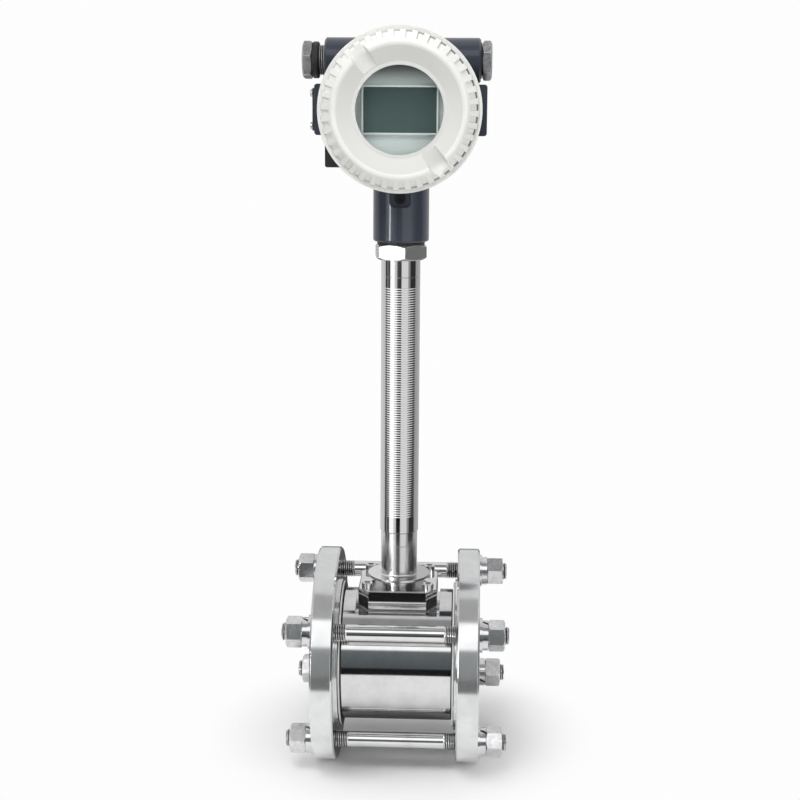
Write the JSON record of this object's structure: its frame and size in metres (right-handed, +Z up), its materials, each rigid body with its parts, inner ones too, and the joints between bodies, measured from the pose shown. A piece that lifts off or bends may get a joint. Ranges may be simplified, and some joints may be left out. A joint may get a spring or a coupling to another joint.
{
  "type": "vortex flow meter",
  "caption": "Wafer vortex flow meter clamped between plate flanges by tie studs, with a tall stem and a swivelling display head with screw covers and cable entry plugs.",
  "frame": {"origin": "centre of the inlet flange's outer face, on the pipe axis", "axes": "+X along the flow, +Z up the stem to the display head, -Y the side that the display faces"},
  "size_m": [0.2, 0.195, 0.6629],
  "materials": {
    "flange_steel": "turned faces, satin",
    "body_steel": "turned stainless, satin",
    "stem_steel": "polished stainless with fine turning marks",
    "stud_steel": "polished stainless",
    "nut_steel": "bright stainless",
    "lock_nut_steel": "bright stainless",
    "gasket_white": "white sheet",
    "rubber_black": "matt",
    "probe_steel": "ground stainless",
    "housing_paint": "cast aluminium, slate-blue powder coat, semi-gloss",
    "cover_paint": "cast aluminium, off-white powder coat, semi-gloss",
    "plate_black": "black anodised, blank",
    "screw_steel": "bright",
    "module_black": "moulded",
    "plate_grey": "pale grey-green, satin",
    "lcd_dark": "dark teal, unlit",
    "bezel_white": "white",
    "window_glass": "clear",
    "glass_ring_black": "black anodised",
    "terminal_green": "moulded, dark grey",
    "plug_zinc": "dull grey galvanised"
  },
  "bodies": {
    "pipe_section": {"inlet_flange": "flange_steel", "outlet_flange": "flange_steel", "inlet_gasket": "gasket_white", "outlet_gasket": "gasket_white", "meter_body": "body_steel", "bluff_body": "body_steel", "sensor_probe": "probe_steel", "bonnet_block": "body_steel", "bonnet_screws": "screw_steel", "stem": "stem_steel", "lock_nut": "lock_nut_steel", "neck_seal": "rubber_black", "tie_studs": "stud_steel", "flat_washers": "nut_steel", "spring_washers": "nut_steel", "stud_nuts": "nut_steel"},
    "head": {"housing": "housing_paint", "lock_screw": "screw_steel", "side_plate": "plate_black", "side_plate_screws": "screw_steel", "tag_plate": "plate_black", "tag_screw": "screw_steel", "display_module": "module_black", "display_plate": "plate_grey", "lcd_panel": "lcd_dark", "lcd_bezel": "bezel_white", "terminal_block": "terminal_green", "terminal_screws": "screw_steel"},
    "front_ring_seal": {"front_seal": "rubber_black"},
    "front_screw_cover": {"front_cover": "cover_paint", "window_glass": "window_glass", "glass_ring": "glass_ring_black"},
    "rear_ring_seal": {"rear_seal": "rubber_black"},
    "rear_screw_cover": {"rear_cover": "cover_paint"},
    "left_seal": {"left_plug_seal": "rubber_black"},
    "left_entry_plug": {"left_plug": "plug_zinc"},
    "right_seal": {"right_plug_seal": "rubber_black"},
    "right_entry_plug": {"right_plug": "plug_zinc"}
  },
  "joints": [
    {"name": "head_swivel", "type": "hinge", "parent": "pipe_section", "child": "head", "pos_m": [0.074, 0, 0.3825], "axis": [0, 0, 1], "range_deg": [-180, 180]},
    {"name": "front_cover_travel", "type": "slide", "parent": "head", "child": "front_ring_seal", "axis": [0, -1, 0], "range_m": [0, 0.012]},
    {"name": "front_cover_turn", "type": "hinge", "parent": "front_ring_seal", "child": "front_screw_cover", "pos_m": [0.074, 0, 0.496], "axis": [0, -1, 0], "range_deg": [0, 2160]},
    {"name": "rear_cover_travel", "type": "slide", "parent": "head", "child": "rear_ring_seal", "axis": [0, 1, 0], "range_m": [0, 0.012]},
    {"name": "rear_cover_turn", "type": "hinge", "parent": "rear_ring_seal", "child": "rear_screw_cover", "pos_m": [0.074, 0, 0.496], "axis": [0, 1, 0], "range_deg": [0, 2160]},
    {"name": "left_plug_travel", "type": "slide", "parent": "head", "child": "left_seal", "axis": [-1, 0, 0], "range_m": [-0.0099, 0.00363]},
    {"name": "left_plug_turn", "type": "hinge", "parent": "left_seal", "child": "left_entry_plug", "pos_m": [0.074, 0.022, 0.5382], "axis": [-1, 0, 0], "range_deg": [-1964.72, 720]},
    {"name": "right_plug_travel", "type": "slide", "parent": "head", "child": "right_seal", "axis": [1, 0, 0], "range_m": [0, 0.0127]},
    {"name": "right_plug_turn", "type": "hinge", "parent": "right_seal", "child": "right_entry_plug", "pos_m": [0.074, 0.022, 0.5382], "axis": [1, 0, 0], "range_deg": [0, 2520]}
  ],
  "couplings": [
    {"joint": "front_cover_travel", "follows": "front_cover_turn", "m_per_rad": 0.00031831},
    {"joint": "rear_cover_travel", "follows": "rear_cover_turn", "m_per_rad": 0.00031831},
    {"joint": "left_plug_travel", "follows": "left_plug_turn", "m_per_rad": 0.00028871},
    {"joint": "right_plug_travel", "follows": "right_plug_turn", "m_per_rad": 0.00028871}
  ]
}
